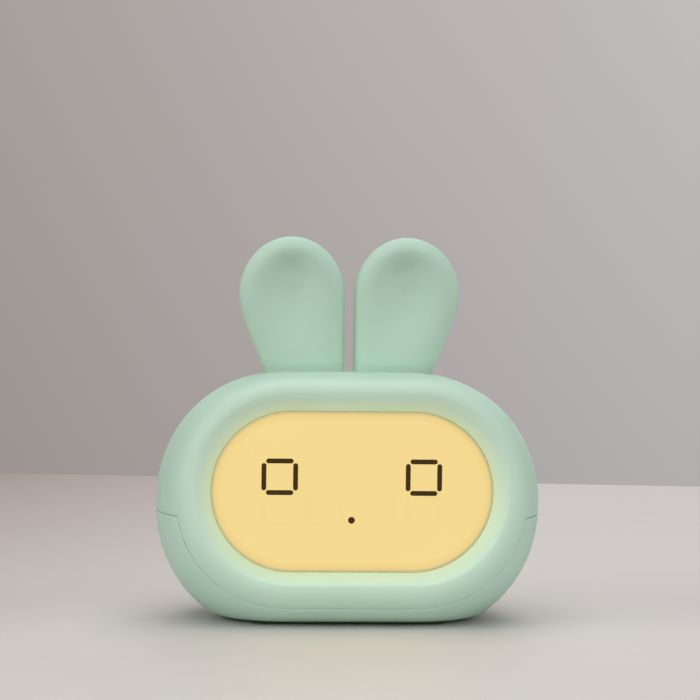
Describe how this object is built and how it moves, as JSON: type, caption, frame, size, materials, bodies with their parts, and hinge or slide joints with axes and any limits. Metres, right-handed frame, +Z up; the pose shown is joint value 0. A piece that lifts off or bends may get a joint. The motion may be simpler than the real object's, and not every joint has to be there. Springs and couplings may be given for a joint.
{
  "type": "kids alarm clock with night light",
  "caption": "Pebble-shaped bedside alarm clock and night light with a recessed glowing window, two soft upright ears, rear push buttons, an alarm switch and a charging socket.",
  "frame": {"origin": "middle of the clock's width and depth, on the table under its feet", "axes": "+X to the right as seen from the front, the window faces -Y, +Z up"},
  "size_m": [0.12, 0.06, 0.1197],
  "materials": {
    "casing_plastic": "fine matte, mint green",
    "ear_silicone": "soft-touch matte, mint green",
    "white_plastic": "matte",
    "screw_steel": "satin",
    "window_plastic": "satin, glowing warm yellow",
    "black_foam": "matte",
    "display_glass": "clear",
    "segment_ink": "matte, dark brown",
    "faint_segment_ink": "matte, nearly the colour of the window",
    "white_film": "matte",
    "clear_plastic": "clear",
    "lamp_yellow": "satin",
    "ribbon_film": "satin",
    "circuit_board": "satin",
    "black_plastic": "matte",
    "bare_metal": "satin",
    "capacitor_sleeve": "satin",
    "button_plastic": "matte",
    "plunger_plastic": "matte",
    "battery_wrap": "satin",
    "speaker_cone_film": "matte",
    "copper_foil": "satin",
    "wire_sleeve": "matte",
    "foot_rubber": "matte"
  },
  "bodies": {
    "clock": {"upper_casing": "casing_plastic", "lower_casing": "casing_plastic", "left_ear": "ear_silicone", "right_ear": "ear_silicone", "left_ear_core": "white_plastic", "right_ear_core": "white_plastic", "ear_screws": "screw_steel", "display_lens": "window_plastic", "lens_gasket": "black_foam", "lcd_glass": "display_glass", "lcd_lit_segments": "segment_ink", "lcd_unlit_segments": "faint_segment_ink", "diffuser_sheet": "white_film", "light_guide": "clear_plastic", "reflector_sheet": "white_film", "backlight_strip": "white_plastic", "backlight_lamps": "lamp_yellow", "display_frame": "white_plastic", "display_frame_screws": "screw_steel", "display_ribbon": "ribbon_film", "main_board": "circuit_board", "clock_chip": "black_plastic", "crystal": "bare_metal", "capacitors": "capacitor_sleeve", "board_connectors": "white_plastic", "main_board_screws": "screw_steel", "control_board": "circuit_board", "push_switch_bodies": "black_plastic", "alarm_switch_body": "bare_metal", "usb_socket_shell": "bare_metal", "usb_socket_tongue": "black_plastic", "charge_light_pipe": "clear_plastic", "charge_lamp": "lamp_yellow", "control_board_screws": "screw_steel", "battery_cell": "battery_wrap", "battery_pad": "black_foam", "battery_bracket": "white_plastic", "battery_bracket_screws": "screw_steel", "speaker_frame": "black_plastic", "speaker_cone": "speaker_cone_film", "speaker_magnet": "bare_metal", "speaker_retainer": "white_plastic", "speaker_screws": "screw_steel", "touch_foil": "copper_foil", "wiring": "wire_sleeve", "casing_screws": "screw_steel", "front_left_foot": "foot_rubber", "front_right_foot": "foot_rubber", "rear_left_foot": "foot_rubber", "rear_right_foot": "foot_rubber"},
    "mode_key": {"mode_button": "button_plastic", "mode_plunger": "plunger_plastic"},
    "down_key": {"down_button": "button_plastic", "down_plunger": "plunger_plastic"},
    "up_key": {"up_button": "button_plastic", "up_plunger": "plunger_plastic"},
    "light_key": {"light_button": "button_plastic", "light_plunger": "plunger_plastic"},
    "alarm_slider": {"alarm_switch_slider": "button_plastic"}
  },
  "joints": [
    {"name": "mode_press", "type": "slide", "parent": "clock", "child": "mode_key", "axis": [0, -1, 0], "range_m": [0, 0.0005], "stiffness_N_per_m": 1500, "springref_m": -0.0002},
    {"name": "down_press", "type": "slide", "parent": "clock", "child": "down_key", "axis": [0, -1, 0], "range_m": [0, 0.0005], "stiffness_N_per_m": 1500, "springref_m": -0.0002},
    {"name": "up_press", "type": "slide", "parent": "clock", "child": "up_key", "axis": [0, -1, 0], "range_m": [0, 0.0005], "stiffness_N_per_m": 1500, "springref_m": -0.0002},
    {"name": "light_press", "type": "slide", "parent": "clock", "child": "light_key", "axis": [0, -1, 0], "range_m": [0, 0.0005], "stiffness_N_per_m": 1500, "springref_m": -0.0002},
    {"name": "alarm_switch_slide", "type": "slide", "parent": "clock", "child": "alarm_slider", "axis": [-1, 0, 0], "range_m": [0, 0.0025]}
  ]
}
